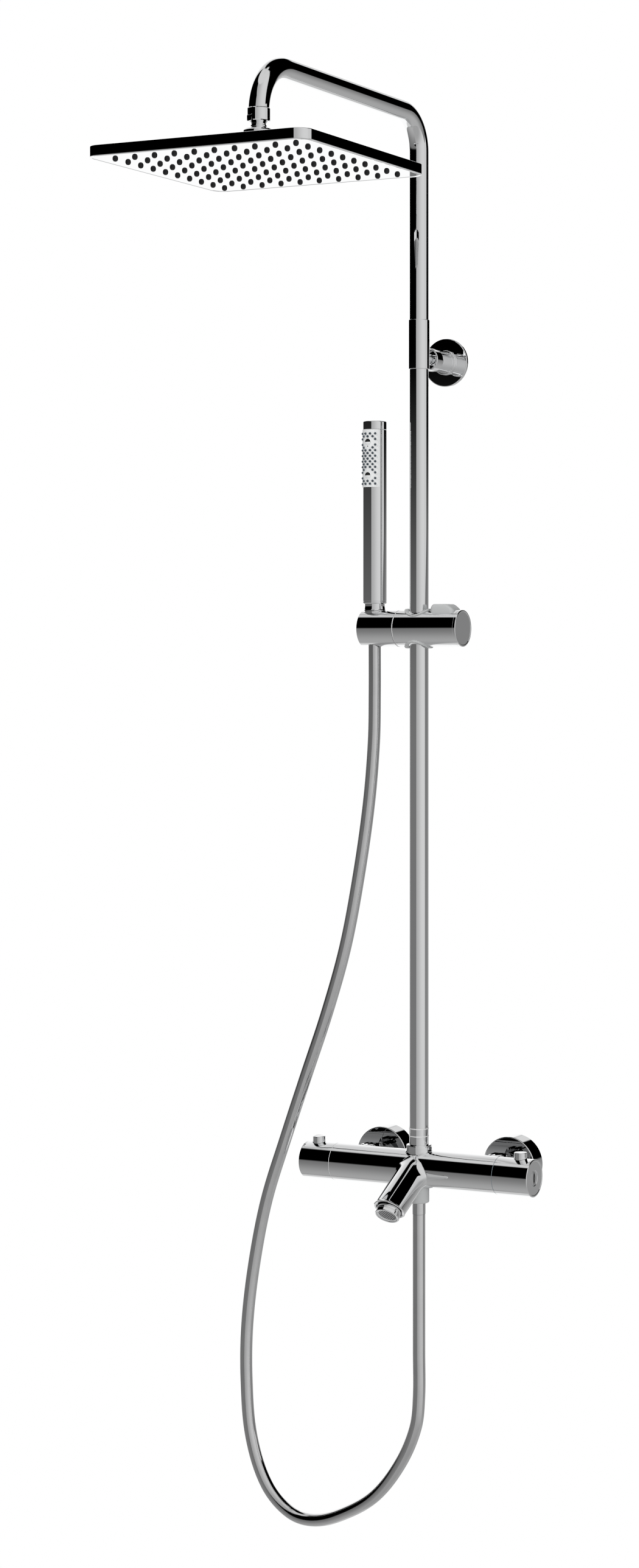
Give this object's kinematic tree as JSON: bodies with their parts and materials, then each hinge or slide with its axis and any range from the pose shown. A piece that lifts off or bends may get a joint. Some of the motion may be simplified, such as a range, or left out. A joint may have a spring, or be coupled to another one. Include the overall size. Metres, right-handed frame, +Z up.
{
  "type": "shower column",
  "caption": "Wall-mounted shower column: bar mixer with knobs, push buttons and bath spout, riser, tilting square rain head, sliding holder, stick hand shower and hose.",
  "frame": {"origin": "on the wall plane, midway between the two inlets, at the height of the mixer's axis", "axes": "+X right along the wall seen from the room, +Y into the wall, +Z up"},
  "size_m": [0.3465, 0.542, 1.483],
  "materials": {
    "chrome": "polished",
    "plated_plastic": "polished chrome plate on plastic",
    "satin_ring": "satin",
    "blue_ring": "gloss",
    "inner_plastic": "matt",
    "brass": "machined",
    "steel": "satin",
    "rubber": "matt",
    "mesh": "woven",
    "satin_grey": "satin",
    "hose_skin": "smooth silver",
    "white_plastic": "gloss",
    "nozzle_blue": "matt",
    "nozzle_grey": "matt"
  },
  "bodies": {
    "column": {"mixer_body": "chrome", "left_seam_ring": "satin_ring", "right_seam_ring": "blue_ring", "flow_cartridge": "inner_plastic", "thermostatic_cartridge": "inner_plastic", "left_wall_union": "brass", "right_wall_union": "brass", "union_nuts": "chrome", "filter_washers": "rubber", "left_wall_flange": "chrome", "right_wall_flange": "chrome", "spout": "chrome", "spout_rim": "chrome", "aerator_housing": "chrome", "aerator_mesh": "mesh", "riser_collar": "chrome", "collar_screw": "steel", "riser_spigot": "brass", "riser_foot": "chrome", "riser_ring": "satin_ring", "lower_riser": "chrome", "coupler_sleeve": "chrome", "bracket_pin": "chrome", "bracket_cup": "chrome", "bracket_stem": "chrome", "bracket_ring": "chrome", "bracket_disc": "chrome", "bracket_spacer": "inner_plastic", "bracket_screws": "steel", "shower_arm": "chrome", "arm_nut": "chrome", "hose_nut": "satin_grey", "hose_ferrule": "chrome", "hose": "hose_skin"},
    "flow_control": {"flow_knob": "plated_plastic", "flow_cap": "plated_plastic", "flow_spindle": "brass"},
    "flow_push": {"flow_button": "plated_plastic"},
    "temperature_control": {"temperature_knob": "plated_plastic", "temperature_cap": "plated_plastic", "temperature_spindle": "brass"},
    "temperature_push": {"temperature_button": "plated_plastic"},
    "slider": {"slider_clamp": "plated_plastic", "slider_bush": "inner_plastic", "slider_ring": "satin_grey", "slider_cap": "plated_plastic", "slider_bolt": "steel"},
    "slider_release": {"slider_lever": "satin_grey"},
    "holder": {"slider_holder": "plated_plastic"},
    "handset": {"handset_body": "plated_plastic", "handset_cap": "plated_plastic", "spray_face": "white_plastic", "spray_nozzles": "nozzle_blue", "massage_nozzles": "nozzle_blue", "handset_neck": "plated_plastic", "hose_cone": "plated_plastic"},
    "head_cradle": {"ball_seat": "white_plastic"},
    "head": {"head_ball": "chrome", "head_plate": "chrome", "head_nozzles": "nozzle_grey"}
  },
  "joints": [
    {"name": "flow_turn", "type": "hinge", "parent": "column", "child": "flow_control", "pos_m": [-0.115, -0.078, 0], "axis": [1, 0, 0], "range_deg": [-90, 90]},
    {"name": "flow_press", "type": "slide", "parent": "flow_control", "child": "flow_push", "axis": [0, 0, -1], "range_m": [0, 0.0025], "stiffness_N_per_m": 1200, "springref_m": -0.002},
    {"name": "temperature_turn", "type": "hinge", "parent": "column", "child": "temperature_control", "pos_m": [0.112, -0.078, 0], "axis": [1, 0, 0], "range_deg": [-150, 60]},
    {"name": "temperature_press", "type": "slide", "parent": "temperature_control", "child": "temperature_push", "axis": [0, 0, -1], "range_m": [0, 0.0025], "stiffness_N_per_m": 1200, "springref_m": -0.002},
    {"name": "slider_travel", "type": "slide", "parent": "column", "child": "slider", "axis": [0, 0, 1], "range_m": [-0.3, 0.24], "deforming": ["hose"]},
    {"name": "lever_press", "type": "slide", "parent": "slider", "child": "slider_release", "axis": [0, 0, -1], "range_m": [0, 0.0018], "stiffness_N_per_m": 1500, "springref_m": -0.002},
    {"name": "holder_tilt", "type": "hinge", "parent": "slider", "child": "holder", "pos_m": [-0.045, -0.078, 0.5575], "axis": [1, 0, 0], "range_deg": [-15, 35], "deforming": ["hose"]},
    {"name": "handset_lift", "type": "slide", "parent": "holder", "child": "handset", "axis": [0, 0, 1], "range_m": [0, 0.03], "deforming": ["hose"]},
    {"name": "head_tilt_x", "type": "hinge", "parent": "column", "child": "head_cradle", "pos_m": [0, -0.4, 1.032], "axis": [1, 0, 0], "range_deg": [-12, 12]},
    {"name": "head_tilt_y", "type": "hinge", "parent": "head_cradle", "child": "head", "pos_m": [0, -0.4, 1.032], "axis": [0, 1, 0], "range_deg": [-12, 12]}
  ]
}
